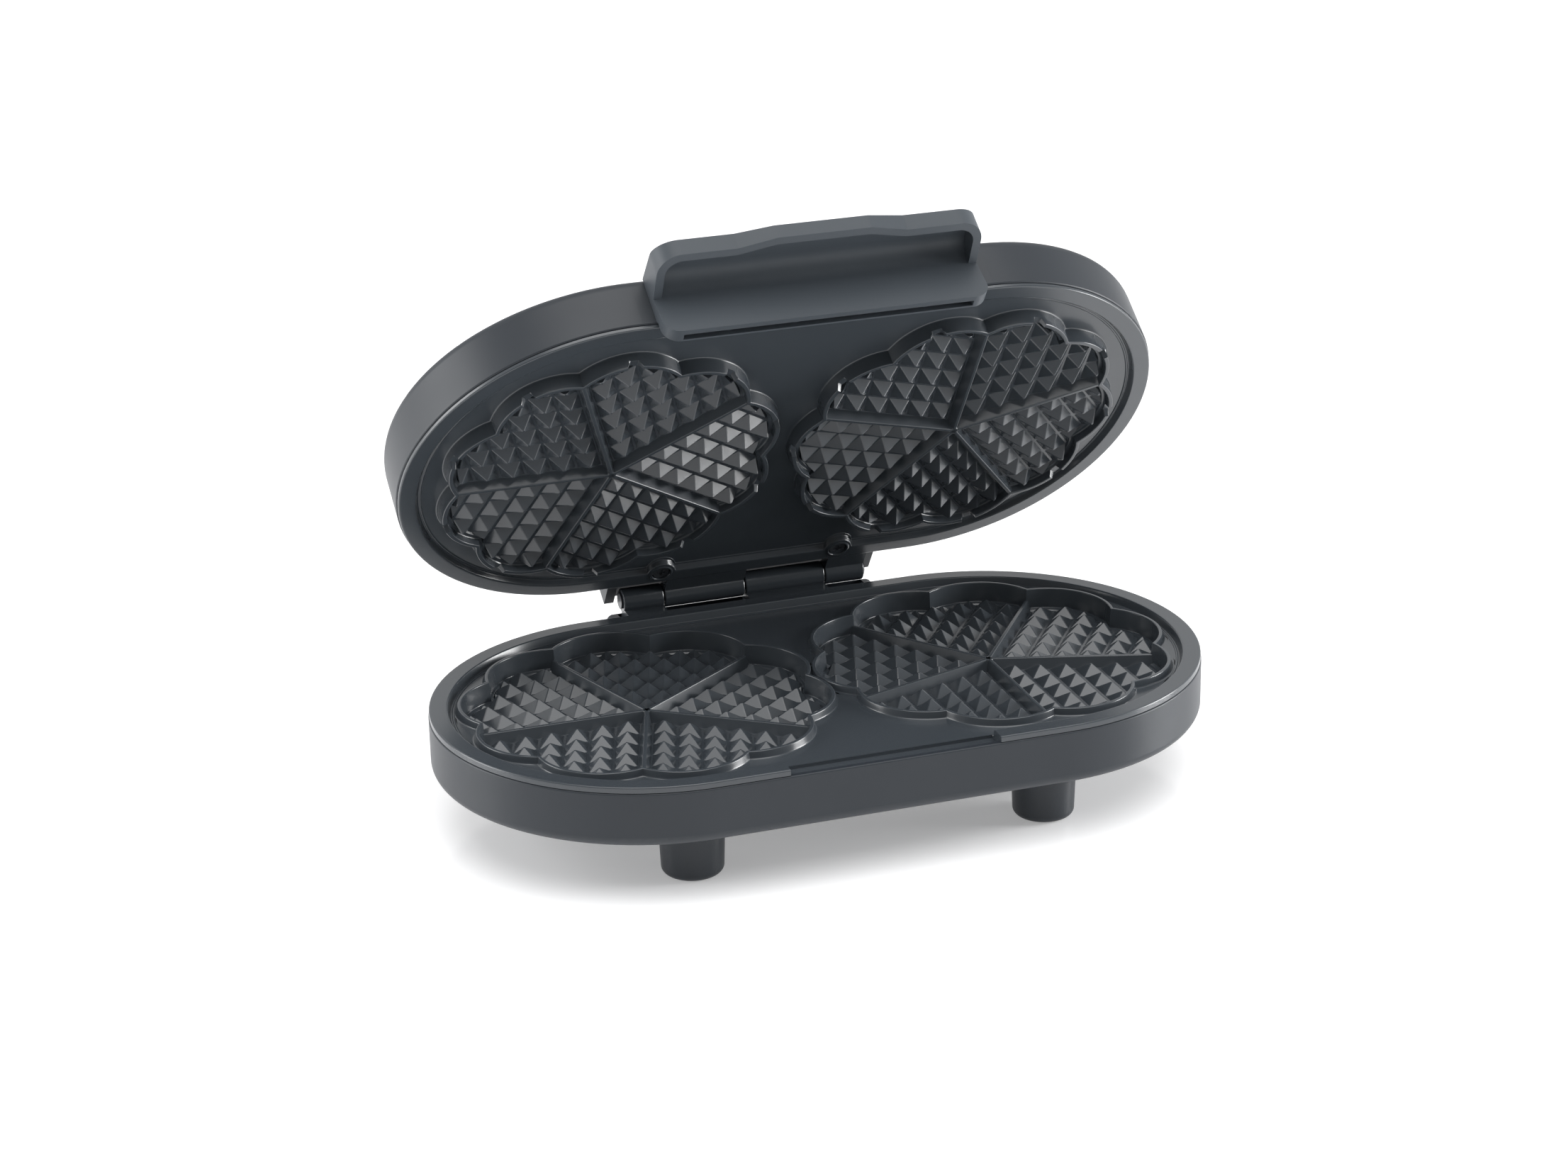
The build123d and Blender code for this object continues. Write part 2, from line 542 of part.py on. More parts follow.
def handle_screws():
    """Two screws that hold the handle, driven from inside the lid."""
    group = []
    for x in (-HANDLE_SCREW_X, HANDLE_SCREW_X):
        shank = rod_y(x, -95.5, -88.5, HANDLE_SCREW_Z, 1.5)
        head = rod_y(x, -HOUSING_R + WALL + 0.1, -HOUSING_R + WALL + 1.9, HANDLE_SCREW_Z, 3.2)
        group.append(shank + head)
    return Compound(children=group)


# ---- assembly ------------------------------------------------------------------------------------
def base_parts():
    parts = {
        "base_housing": base_housing(), "lower_plate": lower_plate(), "hinge_pin": hinge_pin(),
        "base_screws": base_screws(), "foot_screws": foot_screws(),
        "lower_heating_element": heater(LOWER_TUBE_Z), "lower_element_straps": lower_straps(),
        "lower_strap_screws": lower_strap_screws(), "lower_reflector": lower_reflector(),
        "terminal_block": terminal_block(), "terminal_screws": terminal_screws(), "base_leads": base_leads(),
        "cord_gland": cord_gland(),
    }
    names = {(-1, -1): "front_left", (1, -1): "front_right", (-1, 1): "rear_left", (1, 1): "rear_right"}
    for (sx, sy), where in names.items():
        parts["foot_" + where] = foot(sx * FOOT_X, sy * FOOT_Y)
        parts["foot_pad_" + where] = foot_pad(sx * FOOT_X, sy * FOOT_Y)
    return parts


def lid_parts():
    return {
        "lid_housing": lid_housing(), "upper_plate": upper_plate(), "plate_screws": plate_screws(),
        "lid_handle": handle(), "handle_screws": handle_screws(),
        "upper_heating_element": heater(UPPER_TUBE_Z), "upper_element_straps": upper_straps(),
        "upper_strap_screws": upper_strap_screws(), "upper_reflector": upper_reflector(),
        "thermostat": thermostat(), "thermal_fuse": thermal_fuse(), "lid_leads": lid_leads(),
        "ready_lamp_lens": lamp_lens(1), "power_lamp_lens": lamp_lens(-1),
        "ready_lamp": lamp_holder(1), "power_lamp": lamp_holder(-1),
        "thermostat_shaft": thermostat_shaft(), "temperature_dial": dial(),
    }


hinge_axis = Axis((0, HINGE_Y, HINGE_Z), (1, 0, 0))
assembly = dict(base_parts())
for name, solid in lid_parts().items():
    assembly[name] = solid.rotate(hinge_axis, -LID_REST_ANGLE)

boxes = [solid.bounding_box() for solid in assembly.values()]
middle_y = (min(b.min.Y for b in boxes) + max(b.max.Y for b in boxes)) / 2
shift = Pos(0, -middle_y, -FLOOR)

os.makedirs("parts", exist_ok=True)
for name, solid in assembly.items():
    export_step(shift * solid, f"parts/{name}.step")
print("moved by y", round(-middle_y, 3), "and z", -FLOOR)
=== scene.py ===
import json
import math

import bmesh
import bpy
import numpy as np
from mathutils import Matrix, Vector
from mathutils.geometry import tessellate_polygon


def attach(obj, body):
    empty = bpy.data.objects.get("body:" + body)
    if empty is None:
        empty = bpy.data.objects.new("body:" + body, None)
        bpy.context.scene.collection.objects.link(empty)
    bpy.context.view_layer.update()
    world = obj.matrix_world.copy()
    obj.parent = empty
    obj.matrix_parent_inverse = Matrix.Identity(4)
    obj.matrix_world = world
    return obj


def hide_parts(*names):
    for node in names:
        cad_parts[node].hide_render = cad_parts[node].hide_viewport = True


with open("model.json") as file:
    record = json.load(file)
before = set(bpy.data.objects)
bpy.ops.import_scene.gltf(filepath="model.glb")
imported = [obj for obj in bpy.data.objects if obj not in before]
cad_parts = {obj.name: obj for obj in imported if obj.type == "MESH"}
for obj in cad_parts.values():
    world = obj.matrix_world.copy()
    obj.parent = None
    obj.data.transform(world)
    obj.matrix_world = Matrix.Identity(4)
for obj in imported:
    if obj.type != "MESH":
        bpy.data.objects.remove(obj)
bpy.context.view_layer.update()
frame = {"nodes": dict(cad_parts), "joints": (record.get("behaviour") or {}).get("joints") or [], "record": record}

# A double heart waffle maker.  The two cast baking plates with their waffle pattern are made here, over
# the CAD frame, and every other CAD piece is shown with a finish of its own.
# Shapes are worked out in millimetres in the closed frame: X along the length, Y towards the hinge, Z up,
# z = 0 at the top of the lower mould rims, with the lid shut.  place() carries them into the row frame.
MM = 0.001

# ---- where the closed frame lies in the row frame ------------------------------------------------
HINGE_Y, HINGE_Z = 105.5, 2.6
hinge = next(j for j in frame["joints"] if j["name"] == "lid_hinge")
HINGE_ROW = np.array(hinge["pos_m"])
LID_REST = math.radians(-hinge["range_deg"][0])     # how far the lid stands open at rest

# ---- driving sizes of the plates, mm -------------------------------------------------------------
HALF_STRAIGHT = 75.3                 # half the straight run of the stadium outline
MOULD_X = 77.1                       # each mould's centre, left and right
LOBES = 10                           # two lobes for each of the five hearts
LOBE_STEP = math.tau / LOBES
MOULDS = (("left", -MOULD_X, 0.0), ("right", MOULD_X, -LOBE_STEP / 2))     # side, centre, turn
PLATE_T = 3.0                        # thickness of the casting
SPIGOT_R = 90.0                      # the part of a plate that sits inside its housing
STEP_FOOT_R, STEP_TOP_R = 83.6, 84.8 # the slope from the flat up to the ring
RECESS_HALF, RECESS_FLOOR = 45.0, -1.0       # the lower ring's front recess, and its height from the flat
RECESS_FROM_R = 82.4                 # the recess begins in the fine bead inside the ring
BOSS_X, BOSS_Y, BOSS_R = 41.5, 85.5, 6.4     # the bosses of the two screws in the upper plate
SEAT_R, SEAT_FLOOR, SEAT_STATIONS = 4.0, 0.6, 36
KNUCKLE_R, KNUCKLE_CHAMFER, KNUCKLE_STATIONS = 5.5, 0.45, 40
ARM_LENGTH = 18.5                    # from the hinge axis to where a knuckle's arm meets its plate

# Heights are measured from the plate's flat towards the other plate, so sign turns them into Z.
#   ring, ring_r, flange     height and radius of the raised outer ring, and height of its lower edge
#   cusp_r, lobe_r           radius of the mould's outline at its cusps and at its peaks
#   rim, land, floor, inset  rim height, its flat top's width, the mould's floor, and where that begins
#   ridge, notch, peak       height of the heart ridges, depth of a vent notch, height of a pyramid
LOWER = {"sign": 1, "flat": -3.2, "ring": 3.6, "ring_r": 92.5, "flange": 1.0, "cusp_r": 72.0, "lobe_r": 79.0,
         "rim": 3.2, "land": 1.5, "floor": -6.8, "inset": 4.5, "ridge": -1.9, "notch": 0.0, "peak": 4.2}
UPPER = {"sign": -1, "flat": 3.3, "ring": 2.4, "ring_r": 92.2, "flange": 0.7, "cusp_r": 67.5, "lobe_r": 73.75,
         "rim": 6.8, "land": 1.9, "floor": 2.0, "inset": 4.6, "ridge": 6.5, "notch": 3.0, "peak": 4.4}
NOTCH_FLOOR, NOTCH_TOP = 1.7 / 73.0, 3.3 / 73.0      # half angles of a vent notch at its floor and mouth
PITCH, GROOVE = 11.0, 1.0            # spacing of the pyramids along a ridge, and the groove between two
FIRST_ROW = 2.9                      # from a ridge's middle line to the first row, across the ridge
ROWS = 7                             # rows of pyramids along each ridge, before the rim cuts them off
EDGE = 0.35                          # worn width of a pyramid's edges
TIP, TIP_CUT = 0.42, 0.28            # half width of a pyramid's worn tip, and how far its corners are cut
SUNK = 0.6                           # pyramids, ridges and hub reach this far into the mould's floor


# ---- small geometry helpers ----------------------------------------------------------------------
def rounded(corners, steps=4):
    """A polyline with rounded corners: a corner (a, b, r) becomes a quadratic curve that leaves one side
    r before the corner and meets the next side r after it."""
    line = []
    for i, (a, b, r) in enumerate(corners):
        here = np.array((a, b), float)
        if r == 0 or i in (0, len(corners) - 1):
            line.append(here)
            continue
        before = np.array(corners[i - 1][:2], float) - here
        after = np.array(corners[i + 1][:2], float) - here
        start = here + before * min(0.5, r / np.linalg.norm(before))
        end = here + after * min(0.5, r / np.linalg.norm(after))
        t = np.linspace(0, 1, steps + 1)[:, None]
        line.extend((1 - t) ** 2 * start + 2 * t * (1 - t) * here + t ** 2 * end)
    return np.array(line)


def grid_faces(rows, columns, closed=False, offset=0):
    """Quads over a rows x columns grid of points, the columns joined end to end when closed."""
    last = columns if closed else columns - 1
    r, c = np.meshgrid(np.arange(rows - 1), np.arange(last), indexing="ij")
    d = (c + 1) % columns
    quads = np.stack([r * columns + c, r * columns + d, (r + 1) * columns + d, (r + 1) * columns + c], -1)
    return (quads.reshape(-1, 4) + offset).tolist()


def join(*shapes):
    """Several (points, faces) shapes as one."""
    points, faces, count = [], [], 0
    for co, fs in shapes:
        points.append(np.asarray(co, float))
        faces.extend([[i + count for i in f] for f in fs])
        count += len(co)
    return np.concatenate(points), faces


def turned(shape, angle, x=0.0):
    """A shape turned clockwise, seen from above, about the Z axis and then moved along X."""
    co, faces = shape
    c, s = math.cos(angle), math.sin(angle)
    moved = np.stack([co[:, 0] * c + co[:, 1] * s + x, -co[:, 0] * s + co[:, 1] * c, co[:, 2]], -1)
    return moved, faces


def place(co, lid):
    """Closed frame in mm to row frame in metres, the lid's points swung open about the hinge."""
    away = co - np.array((0.0, HINGE_Y, HINGE_Z))
    if lid:
        c, s = math.cos(LID_REST), math.sin(LID_REST)
        away = np.stack([away[:, 0], away[:, 1] * c + away[:, 2] * s, away[:, 2] * c - away[:, 1] * s], -1)
    return HINGE_ROW + away * MM


def piece(name, shape, body, material, stands_for=(), sharp=30.0):
    """A finished piece from closed-frame points: welded, its faces pointed outwards, shaded smooth with
    edges over the given angle kept sharp, riding on its body."""
    co, faces = shape
    mesh = bpy.data.meshes.new(name)
    mesh.from_pydata(place(co, body != "base").tolist(), [], faces)
    bm = bmesh.new()
    bm.from_mesh(mesh)
    bmesh.ops.remove_doubles(bm, verts=bm.verts, dist=0.004 * MM)
    bmesh.ops.dissolve_degenerate(bm, dist=0.001 * MM, edges=bm.edges)
    bmesh.ops.recalc_face_normals(bm, faces=bm.faces)
    bm.to_mesh(mesh)
    bm.free()
    mesh.shade_smooth()
    mesh.set_sharp_from_angle(angle=math.radians(sharp))
    made = bpy.data.objects.new(name, mesh)
    bpy.context.scene.collection.objects.link(made)
    mesh.materials.append(material)
    # level faces keep their own normal up to the rounding beside them
    even = made.modifiers.new("even_normals", "WEIGHTED_NORMAL")
    even.keep_sharp = True
    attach(made, body)
    if stands_for:
        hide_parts(*stands_for)
    return made


# ---- outlines ------------------------------------------------------------------------------------
def lobe_radius(phi, cusp_r, lobe_r):
    """Polar radius of one lobe at an angle phi from its peak: the lobe is a circle whose centre lies on the
    peak's ray, placed so that it passes through the cusp at half a lobe's width."""
    half = LOBE_STEP / 2
    centre = (lobe_r ** 2 - cusp_r ** 2) / (2 * (lobe_r - cusp_r * math.cos(half)))
    return centre * np.cos(phi) + np.sqrt((lobe_r - centre) ** 2 - (centre * np.sin(phi)) ** 2)


def flower_stations(notched):
    """Angles from a peak that a lobe's outline passes through: even steps, and the notch's corners."""
    stations = np.linspace(-LOBE_STEP / 2, LOBE_STEP / 2, 21)[:-1]
    if notched:
        corners = [-NOTCH_TOP, -NOTCH_FLOOR, NOTCH_FLOOR, NOTCH_TOP]
        keep = np.min(np.abs(stations[:, None] - np.array(corners)), axis=1) > 0.006
        stations = np.sort(np.concatenate([stations[keep], corners]))
    return stations


def flower(kind, profile):
    """A profile (offset, height) carried round the scalloped outline of the five hearts.  The point at an
    angle has the outline's radius plus the offset; over a vent notch its height is held down to the
    notch's floor, along a straight slope at each side."""
    phi = flower_stations(kind["notch"] > 0)
    peaks = np.arange(LOBES) * LOBE_STEP
    angle = (peaks[:, None] + phi[None, :]).ravel()
    radius = np.tile(lobe_radius(phi, kind["cusp_r"], kind["lobe_r"]), LOBES)
    slope = np.clip((NOTCH_TOP - np.abs(phi)) / (NOTCH_TOP - NOTCH_FLOOR), 0, 1)
    ceiling = np.tile(kind["rim"] - kind["notch"] * slope, LOBES)
    r = radius[None, :] + profile[:, :1]
    height = np.minimum(profile[:, 1:], ceiling[None, :])
    z = kind["flat"] + kind["sign"] * height
    co = np.stack([r * np.sin(angle), r * np.cos(angle), z], -1).reshape(-1, 3)
    return co, grid_faces(len(profile), len(angle), closed=True)


def stadium_stations():
    """Foot point and outward normal of each station round a stadium, with close pairs where the front
    recess of the ring begins and ends."""
    turn = np.linspace(0, math.pi, 61)
    half_run = np.array([0, 15, 30, RECESS_HALF, RECESS_HALF + 0.15, 60, 70], float)
    front_run = np.concatenate([half_run[::-1], -half_run[1:]])
    side_steps = np.array([0, 1.5, 3, 4.2, 5.2, 5.9, 6.3, 6.6, 7.2])
    near_boss = BOSS_X + np.concatenate([-side_steps[:0:-1], side_steps])
    half_run = np.concatenate([[0, 15, 30], near_boss, [60, 70]])
    back_run = np.concatenate([-half_run[:0:-1], half_run])
    right = np.stack([np.full_like(turn, HALF_STRAIGHT), np.sin(turn), np.cos(turn)], -1)
    front = np.stack([front_run, np.zeros_like(front_run), -np.ones_like(front_run)], -1)
    left = np.stack([np.full_like(turn, -HALF_STRAIGHT), -np.sin(turn), -np.cos(turn)], -1)
    back = np.stack([back_run, np.zeros_like(back_run), np.ones_like(back_run)], -1)
    line = np.concatenate([right, front, left, back])
    return line[:, 0], line[:, 1:]


def stadium(kind, profile, recess=None, bosses=False):
    """A profile (radius, height) carried round the stadium outline.  Inside the front recess its height
    is held down to the recess floor and its radius to the spigot's.  With bosses, the profile swings
    inwards round each screw in a half circle."""
    foot, normal = stadium_stations()
    r = np.repeat(profile[:, :1], len(foot), axis=1)
    height = np.repeat(profile[:, 1:], len(foot), axis=1)
    if recess is not None:
        inside = (normal[:, 1] < -0.999) & (np.abs(foot) <= RECESS_HALF + 0.01)
        lowered = inside[None, :] & (r > RECESS_FROM_R)
        height = np.where(lowered, np.minimum(height, recess), height)
        r = np.where(lowered, np.minimum(r, SPIGOT_R), r)
    if bosses:
        away = np.abs(np.abs(foot) - BOSS_X)
        swing = np.sqrt(np.clip(BOSS_R ** 2 - away ** 2, 0, None)) - (BOSS_Y - STEP_TOP_R)
        r = r - np.where(normal[:, 1] > 0.999, np.clip(swing, 0, None), 0)[None, :]
    z = kind["flat"] + kind["sign"] * height
    co = np.stack([foot[None, :] + r * normal[None, :, 0], r * normal[None, :, 1], z], -1).reshape(-1, 3)
    return co, grid_faces(len(profile), len(foot), closed=True)


def edge_loop(shape, row, columns):
    """One row of a carried profile, as points."""
    return shape[0][row * columns:(row + 1) * columns]


def sheet(outer, *holes):
    """A level face inside the outer loop, with holes."""
    loops = [[Vector(p) for p in loop] for loop in (outer, *holes)]
    co = np.concatenate([outer, *holes])
    return co, [list(t) for t in tessellate_polygon(loops)]


# ---- the waffle pattern --------------------------------------------------------------------------
def direction(angle):
    """Unit vector in plan at an angle clockwise from +Y."""
    return np.array((math.sin(angle), math.cos(angle)))


def pyramids(kind, edge_r):
    """One lobe's pyramids, for a lobe whose peak is at angle 0 with a ridge half a lobe to its left.
    Rows run along both ridges of the heart, which meet at 72 degrees, so each foot is a rhombus.  A
    pyramid is a frustum of that rhombus with its four corners cut off by the worn edge's width: three
    rings of eight points, below the floor, on it and at the tip.  Those past edge_r are left out."""
    first, second = direction(-LOBE_STEP / 2), direction(1.5 * LOBE_STEP)
    skew = math.sin(2 * LOBE_STEP)
    start = FIRST_ROW / skew
    half = (PITCH - GROOVE) / 2
    centre = start + half + PITCH * np.arange(ROWS)
    u, v = (a.ravel() for a in np.meshgrid(centre, centre, indexing="ij"))

    def ring(h, cut):
        """A square of half width h with its corners cut off, as eight points in turn."""
        k = h - cut
        return np.array([(h, -k), (h, k), (k, h), (-k, h), (-h, k), (-h, -k), (-k, -h), (k, -h)])

    rings = [(ring(half, EDGE), -SUNK), (ring(half, EDGE), 0.0), (ring(TIP, TIP_CUT), kind["peak"])]
    local = np.concatenate([np.column_stack([xy, np.full(8, z)]) for xy, z in rings])
    uu = u[:, None] + local[None, :, 0]
    vv = v[:, None] + local[None, :, 1]
    xy = uu[..., None] * first + vv[..., None] * second
    z = np.broadcast_to(kind["flat"] + kind["sign"] * (kind["floor"] + local[:, 2]), uu.shape)
    co = np.concatenate([xy, z[..., None]], -1)
    kept = co[np.linalg.norm(xy, axis=-1).min(axis=1) < edge_r]
    faces = []
    for base in range(0, kept.shape[0] * 24, 24):
        faces += grid_faces(3, 8, closed=True, offset=base)
        faces += [list(range(base, base + 8)), list(range(base + 16, base + 24))]
    return kept.reshape(-1, 3), faces


def clipped_lobe(kind):
    """One lobe's pyramids cut off by upright walls along the lobe's inner edge and by the heart's middle."""
    cusp_r, lobe_r = kind["cusp_r"] - kind["inset"], kind["lobe_r"] - kind["inset"]
    co, faces = pyramids(kind, lobe_r)
    bm = bmesh.new()
    verts = [bm.verts.new(p) for p in co]
    for f in faces:
        bm.faces.new([verts[i] for i in f])
    phi = np.linspace(-LOBE_STEP / 2, LOBE_STEP / 2, 13)
    r = lobe_radius(phi, cusp_r, lobe_r)
    edge = np.stack([r * np.sin(phi), r * np.cos(phi)], -1)
    cuts = [(a, (-(b - a)[1], (b - a)[0])) for a, b in zip(edge[:-1], edge[1:])]
    middle = direction(LOBE_STEP / 2)
    cuts.append((np.zeros(2), (middle[1], -middle[0])))
    for point, normal in cuts:
        bmesh.ops.recalc_face_normals(bm, faces=bm.faces)
        geometry = bm.verts[:] + bm.edges[:] + bm.faces[:]
        cut = bmesh.ops.bisect_plane(bm, geom=geometry, dist=1e-5, plane_co=(point[0], point[1], 0),
                                     plane_no=(normal[0], normal[1], 0), clear_outer=True)
        rim = [e for e in cut["geom_cut"] if isinstance(e, bmesh.types.BMEdge)]
        if rim:
            bmesh.ops.edgenet_fill(bm, edges=rim)
    bm.verts.index_update()
    shape = np.array([v.co[:] for v in bm.verts]), [[v.index for v in f.verts] for f in bm.faces]
    bm.free()
    return shape


def mirrored(shape, angle):
    """A shape mirrored across the upright plane through the middle at that angle."""
    co, faces = shape
    c, s = math.cos(2 * angle), math.sin(2 * angle)
    flipped = np.stack([-co[:, 0] * c + co[:, 1] * s, co[:, 0] * s + co[:, 1] * c, co[:, 2]], -1)
    return flipped, [f[::-1] for f in faces]


def ridge(kind):
    """One ridge: a bar with a narrow flat top and sloping sides, from the middle out into the rim."""
    low, high = kind["floor"] - SUNK, kind["ridge"]
    section = rounded([(-2.7, low, 0), (-2.3, kind["floor"], 0.4), (-0.75, high, 0.35), (0.75, high, 0.35),
                       (2.3, kind["floor"], 0.4), (2.7, low, 0)], 3)
    reach = np.array((0.0, kind["cusp_r"] - 1.2))
    x = np.tile(section[:, 0], 2)
    y = np.repeat(reach, len(section))
    z = kind["flat"] + kind["sign"] * np.tile(section[:, 1], 2)
    n = len(section)
    ends = [list(range(n)), list(range(2 * n - 1, n - 1, -1))]
    return np.stack([x, y, z], -1), grid_faces(2, n, closed=True) + ends


def hub(kind):
    """The small raised disc where the five ridges meet: a profile turned about the mould's middle."""
    floor_at, top, around = kind["floor"], kind["ridge"], 20
    profile = rounded([(3.4, floor_at - SUNK, 0), (3.2, floor_at, 0.4), (1.9, top, 0.5), (0.01, top, 0)], 3)
    turn = np.arange(around) * math.tau / around
    r = profile[:, :1]
    z = np.repeat(kind["flat"] + kind["sign"] * profile[:, 1:], around, axis=1)
    co = np.stack([r * np.sin(turn), r * np.cos(turn), z], -1).reshape(-1, 3)
    n = len(profile)
    caps = [list(range(around)), list(range((n - 1) * around, n * around))]
    return co, grid_faces(n, around, closed=True) + caps


def hearts(kind):
    """The pattern of one mould: five hearts of pyramids, five ridges and the hub."""
    lobe = clipped_lobe(kind)
    heart = join(lobe, mirrored(lobe, LOBE_STEP / 2))
    fields = [turned(heart, k * 2 * LOBE_STEP) for k in range(5)]
    bars = [turned(ridge(kind), k * 2 * LOBE_STEP - LOBE_STEP / 2) for k in range(5)]
    return join(*fields), join(*bars, hub(kind))


# ---- the plates ----------------------------------------------------------------------------------
def plate_shell(kind):
    """A whole cast plate as one closed skin.  Front: the ring, the sloped step down to the flat with its
    fine bead, the flat itself, each mould's rim and its floor.  Back: the pans and the level underside."""
    ring, back = kind["ring"], -PLATE_T
    ring_step = rounded([(81.3, 0.0, 0), (81.9, 0.0, 0.2), (82.2, 0.35, 0.25), (82.7, 0.35, 0.25),
                         (83.0, 0.0, 0.2), (STEP_FOOT_R, 0.0, 0.5), (STEP_TOP_R, ring, 0.6),
                         (STEP_TOP_R + 1.0, ring, 0)], 4)
    ring_edge = rounded([(kind["ring_r"] - 1.4, ring, 0), (kind["ring_r"], ring, 0.7),
                         (kind["ring_r"], kind["flange"], 0.2), (SPIGOT_R, kind["flange"] - 0.1, 0.2),
                         (SPIGOT_R, back, 0)], 4)
    count = len(stadium_stations()[0])
    rim, floor, land = kind["rim"], kind["floor"], kind["land"]
    # the rim outside, its land, the inner wall down to a narrow shelf, and on to the mould's floor
    half_way = rim - kind["notch"] if kind["notch"] else rim * 0.5
    inner = -land - 0.7
    front = rounded([(2.6, 0.0, 0), (0.9, 0.0, 0.7), (0.45, half_way, 0), (0.0, rim, 0.4), (-land, rim, 0.4),
                     (-land - 0.3, half_way if kind["notch"] else 0.0, 0), (inner, floor + 1.1, 0.5),
                     (inner - 1.4, floor + 0.9, 0.3), (-kind["inset"] + 0.2, floor, 0.3),
                     (-kind["inset"] - 1.0, floor, 0)], 4)
    pan = min(floor, 0.0) - PLATE_T
    behind = rounded([(2.6, back, 0), (1.5, back, 0.4), (1.2, pan, 1.0), (-3.0, pan, 0)], 3)
    if kind is UPPER:
        inside, outside = stadium(kind, ring_step, bosses=True), stadium(kind, ring_edge)
        seats = [seat(x) for x in (-BOSS_X, BOSS_X)]
        holes = [edge_loop(inside, len(ring_step) - 1, count)]
        holes += [edge_loop(around_screw, 0, SEAT_STATIONS) for around_screw in seats]
        shapes = [inside, outside, *seats, sheet(edge_loop(outside, 0, count), *holes)]
        rows = len(ring_edge)
    else:
        inside = outside = stadium(kind, np.concatenate([ring_step, ring_edge]), recess=RECESS_FLOOR)
        shapes = [outside]
        rows = len(ring_step) + len(ring_edge)
    front_loops, back_loops = [], []
    for _, x, turn in MOULDS:
        front_shape = turned(flower(kind, front), turn, x)
        back_shape = turned(flower(kind, behind), turn, x)
        n = len(flower_stations(kind["notch"] > 0)) * LOBES
        front_loops.append(edge_loop(front_shape, 0, n))
        back_loops.append(edge_loop(back_shape, 0, n))
        shapes += [front_shape, back_shape]
        shapes.append(sheet(edge_loop(front_shape, len(front) - 1, n)))
        shapes.append(sheet(edge_loop(back_shape, len(behind) - 1, n)))
    shapes.append(sheet(edge_loop(inside, 0, count), *front_loops))
    shapes.append(sheet(edge_loop(outside, rows - 1, count), *back_loops))
    return join(*shapes)


def knuckle(x0, x1, low, high):
    """A hinge knuckle and its arm: a round eye, as a section carried along X and drawn in a little at both
    ends so that the edges catch the light, and a flat arm from it to the plate.  The eye is solid, and the
    CAD pin runs through it out of sight."""
    r, chamfer, around = KNUCKLE_R, KNUCKLE_CHAMFER, KNUCKLE_STATIONS
    turn = np.linspace(0, math.tau, around + 1)[:-1]
    eye = np.stack([np.cos(turn), np.sin(turn)], -1) * r
    x = np.array((x0, x0 + 0.12, x0 + chamfer, x1 - chamfer, x1 - 0.12, x1))
    draw = np.array((chamfer, chamfer * 0.45, 0.0, 0.0, chamfer * 0.45, chamfer))
    scale = (r - draw) / r
    yz = eye[None] * scale[:, None, None]
    co = np.concatenate([np.broadcast_to(x[:, None, None], (len(x), around, 1)), yz], -1).reshape(-1, 3)
    co = co + np.array((0, HINGE_Y, HINGE_Z))
    last = (len(x) - 1) * around
    caps = [list(range(around)), list(range(last, last + around))]
    arm_section = np.array([(-ARM_LENGTH, low), (0.5, low), (0.5, high), (-ARM_LENGTH, high)])
    arm_x = np.repeat((x0 + 0.1, x1 - 0.1), 4)
    arm_y = np.tile(arm_section[:, 0], 2) + HINGE_Y
    arm_z = np.tile(arm_section[:, 1], 2)
    arm = np.stack([arm_x, arm_y, arm_z], -1), grid_faces(2, 4, closed=True) + [[0, 1, 2, 3], [4, 5, 6, 7]]
    return join((co, grid_faces(len(x), around, closed=True) + caps), arm)


def seat(x):
    """The seat of a plate screw: a profile turned about the screw, from the ring's face over a low bead
    and down to the seat's floor."""
    ring = UPPER["ring"]
    profile = rounded([(SEAT_R + 1.7, ring, 0), (SEAT_R + 1.3, ring, 0.2), (SEAT_R + 0.9, ring + 0.35, 0.3),
                       (SEAT_R + 0.2, ring + 0.35, 0.3), (SEAT_R - 0.05, SEAT_FLOOR, 0.15),
                       (0.0, SEAT_FLOOR, 0)], 4)
    turn = np.arange(SEAT_STATIONS) * math.tau / SEAT_STATIONS
    z = UPPER["flat"] - np.repeat(profile[:, 1:], SEAT_STATIONS, axis=1)
    co = np.stack([x + profile[:, :1] * np.sin(turn), BOSS_Y + profile[:, :1] * np.cos(turn), z], -1)
    return co.reshape(-1, 3), grid_faces(len(profile), SEAT_STATIONS, closed=True)


# ---- materials -----------------------------------------------------------------------------------
def linear(hex_colour):
    """An sRGB hex colour as linear RGBA."""
    srgb = np.array([int(hex_colour[i:i + 2], 16) for i in (1, 3, 5)]) / 255.0
    return (*np.where(srgb <= 0.04045, srgb / 12.92, ((srgb + 0.055) / 1.055) ** 2.4).tolist(), 1.0)


def add(tree, kind, inputs=None, **settings):
    """Adds a node, sets its properties, and gives each input a value or a link from another socket."""
    node = tree.nodes.new(kind)
    for key, value in settings.items():
        setattr(node, key, value)
    for key, value in (inputs or {}).items():
        if isinstance(value, bpy.types.NodeSocket):
            tree.links.new(value, node.inputs[key])
        else:
            node.inputs[key].default_value = value
    return node


def new_material(name):
    """An empty material, with its node tree and its Object coordinates."""
    material = bpy.data.materials.new(name)
    material.use_nodes = True
    tree = material.node_tree
    tree.nodes.clear()
    return material, tree, add(tree, "ShaderNodeTexCoord").outputs["Object"]


def per_mm(size):
    """Noise scale that gives features of about this many millimetres."""
    return 1.0 / (size * MM)


